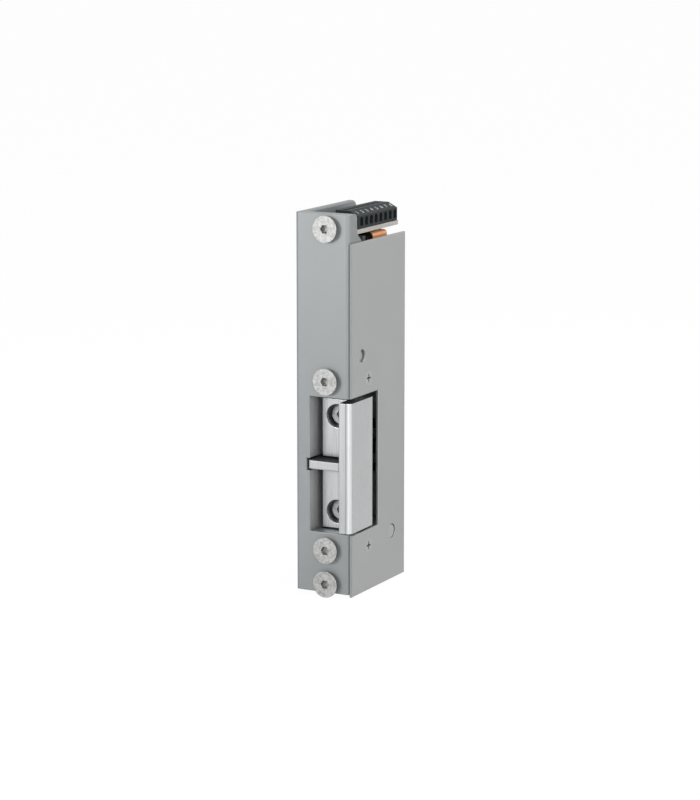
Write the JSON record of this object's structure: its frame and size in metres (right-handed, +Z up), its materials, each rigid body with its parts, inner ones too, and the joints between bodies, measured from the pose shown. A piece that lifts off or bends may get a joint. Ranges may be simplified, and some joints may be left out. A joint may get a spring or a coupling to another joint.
{
  "type": "electric door strike",
  "caption": "Escape-door electric strike: cast case with a hinged adjustable keeper jaw, sliding latch feeler, solenoid lock, board with screw terminals and a side cover.",
  "frame": {"origin": "on the fixing-screw centreline, in the front faceplate-seat plane, level with the middle of the latch opening", "axes": "+Z up along the long axis, -Y out of the front face towards the door, +X towards the removable side cover"},
  "size_m": [0.0232, 0.0461, 0.1415],
  "materials": {
    "zinc_casting": "fine blasted",
    "zinc_plated_sheet": "satin plated",
    "zinc_plated_steel": "bright plated",
    "satin_nickel": "satin nickel plated",
    "sintered_steel": "matt",
    "hardened_steel": "ground",
    "black_plastic": "moulded",
    "red_plastic": "moulded",
    "magnet_iron": "passivated",
    "copper_winding": "varnished tape",
    "board_laminate": "solder resist",
    "tinned_copper": "tinned",
    "spring_steel": "drawn wire"
  },
  "bodies": {
    "case": {"housing": "zinc_casting", "side_cover": "zinc_plated_sheet", "cover_screws": "zinc_plated_steel", "fixing_screws": "zinc_plated_steel", "locating_pin": "zinc_plated_steel", "rear_pin": "zinc_plated_steel", "hinge_pin_upper": "hardened_steel", "hinge_pin_lower": "hardened_steel", "feeler_switch": "black_plastic", "feeler_switch_screws": "zinc_plated_steel", "monitor_switch": "black_plastic", "monitor_switch_screws": "zinc_plated_steel", "lever_pivot_pin": "hardened_steel", "coil_yoke": "magnet_iron", "coil_core": "magnet_iron", "coil_bobbin": "black_plastic", "coil_winding": "copper_winding", "yoke_screw": "zinc_plated_steel", "circuit_board": "board_laminate", "board_screws": "zinc_plated_steel", "terminal_block": "black_plastic", "terminal_clamps": "zinc_plated_steel", "terminal_screws": "zinc_plated_steel", "terminal_pins": "tinned_copper", "suppressor_diode": "black_plastic", "feeler_spring": "spring_steel", "lever_spring": "spring_steel", "keeper_spring": "spring_steel"},
    "keeper": {"keeper_carrier": "sintered_steel", "clamp_screws": "zinc_plated_steel", "lock_lug": "sintered_steel"},
    "jaw": {"keeper_jaw": "satin_nickel"},
    "feeler": {"latch_feeler": "satin_nickel"},
    "lever": {"locking_lever": "sintered_steel"},
    "feeler_plunger": {"feeler_switch_plunger": "red_plastic"},
    "monitor_plunger": {"monitor_switch_plunger": "red_plastic"}
  },
  "joints": [
    {"name": "keeper_swing", "type": "hinge", "parent": "case", "child": "keeper", "pos_m": [0.0041, 0.015, 0], "axis": [0, 0, 1], "range_deg": [0, 60], "stiffness_Nm_per_rad": 0.02, "springref_deg": -34.38, "deforming": ["keeper_spring"]},
    {"name": "jaw_adjust", "type": "slide", "parent": "keeper", "child": "jaw", "axis": [1, 0, 0], "range_m": [-0.0003, 0.0008]},
    {"name": "feeler_slide", "type": "slide", "parent": "case", "child": "feeler", "axis": [0, 1, 0], "range_m": [0, 0.0046], "stiffness_N_per_m": 120, "springref_m": -0.003, "deforming": ["feeler_spring"]},
    {"name": "lever_tilt", "type": "hinge", "parent": "case", "child": "lever", "pos_m": [0, 0.0215, 0.0656], "axis": [-1, 0, 0], "range_deg": [0, 5.7], "stiffness_Nm_per_rad": 0.04, "springref_deg": -17.19, "deforming": ["lever_spring"]},
    {"name": "feeler_plunger_slide", "type": "slide", "parent": "case", "child": "feeler_plunger", "axis": [0, 1, 0], "range_m": [0, 0.00092]},
    {"name": "monitor_plunger_slide", "type": "slide", "parent": "case", "child": "monitor_plunger", "axis": [0, -1, 0], "range_m": [0, 0.001]}
  ],
  "couplings": [
    {"joint": "feeler_plunger_slide", "follows": "feeler_slide", "ratio": 0.2},
    {"joint": "monitor_plunger_slide", "follows": "lever_tilt", "m_per_rad": 0.01}
  ]
}
